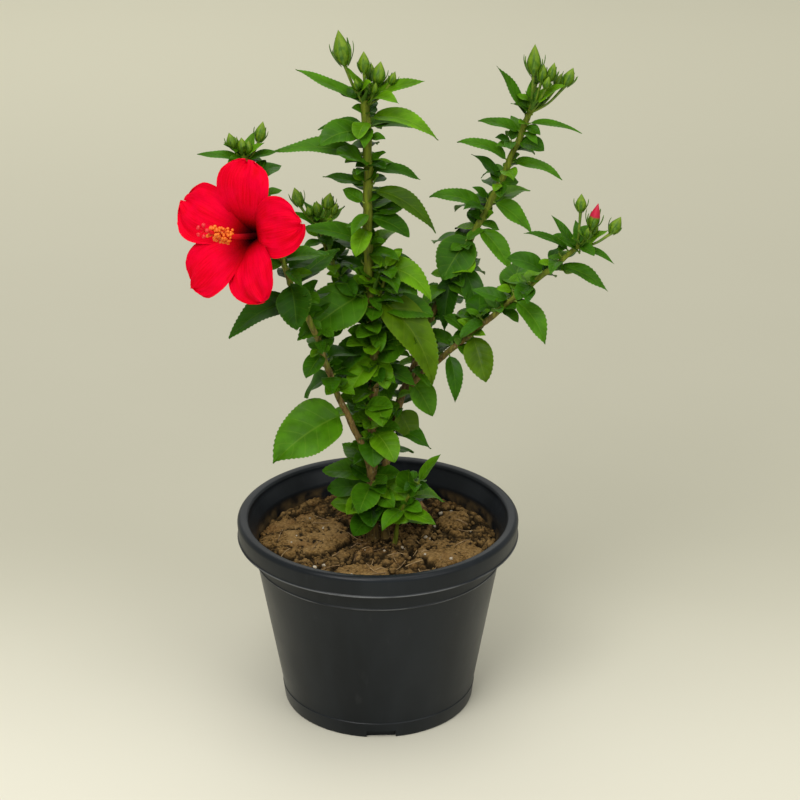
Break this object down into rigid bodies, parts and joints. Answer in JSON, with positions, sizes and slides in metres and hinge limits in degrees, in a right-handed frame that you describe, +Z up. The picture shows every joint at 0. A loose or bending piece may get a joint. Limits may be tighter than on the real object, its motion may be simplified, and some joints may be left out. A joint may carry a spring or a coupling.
{
  "type": "potted hibiscus shrub",
  "caption": "Young hibiscus shrub with slender leafy stems, flower buds and an open red bloom, in a round black nursery pot.",
  "frame": {"origin": "centre of the pot's flat underside", "axes": "+Z up along the pot's axis, -Y and -X towards the side that the open bloom faces, +X towards the outer right bough"},
  "size_m": [0.3681, 0.2691, 0.6244],
  "materials": {
    "pot": "satin black moulded plastic",
    "soil": "dry crumbly brown earth",
    "bark": "young brown bark, lightly ridged",
    "green_stem": "soft green shoot",
    "leaf": "glossy toothed green leaf",
    "petal": "thin satin red petal",
    "throat": "dark maroon throat and column",
    "pollen": "orange-yellow anthers and pollen",
    "bud": "young green bud and calyx",
    "pebble": "small pale stones and crumbs"
  },
  "bodies": {
    "root": {"pot": "pot", "soil": "soil", "bloom": "petal", "trunk": "bark", "left_bough": "bark", "inner_left_shoot": "green_stem", "right_bough": "bark", "right_outer_bough": "green_stem", "foot_shoot": "green_stem", "right_side_shoot": "green_stem", "bloom_stalk": "green_stem", "foot_leaves": "leaf", "foot_shoot_leaves": "leaf", "low_leaves": "leaf", "middle_leaves": "leaf", "broad_leaves": "leaf", "upper_leaves": "leaf", "high_leaves": "leaf", "tip_leaves": "leaf", "left_low_leaf": "leaf", "left_inner_leaves": "leaf", "left_middle_leaves": "leaf", "left_tip_leaves": "leaf", "left_bud_leaves": "leaf", "inner_left_leaves": "leaf", "right_low_leaves": "leaf", "right_middle_leaves": "leaf", "right_upper_leaves": "leaf", "right_high_leaves": "leaf", "right_tip_leaves": "leaf", "outer_low_leaves": "leaf", "outer_middle_leaves": "leaf", "outer_tip_leaves": "leaf"}
  },
  "joints": []
}
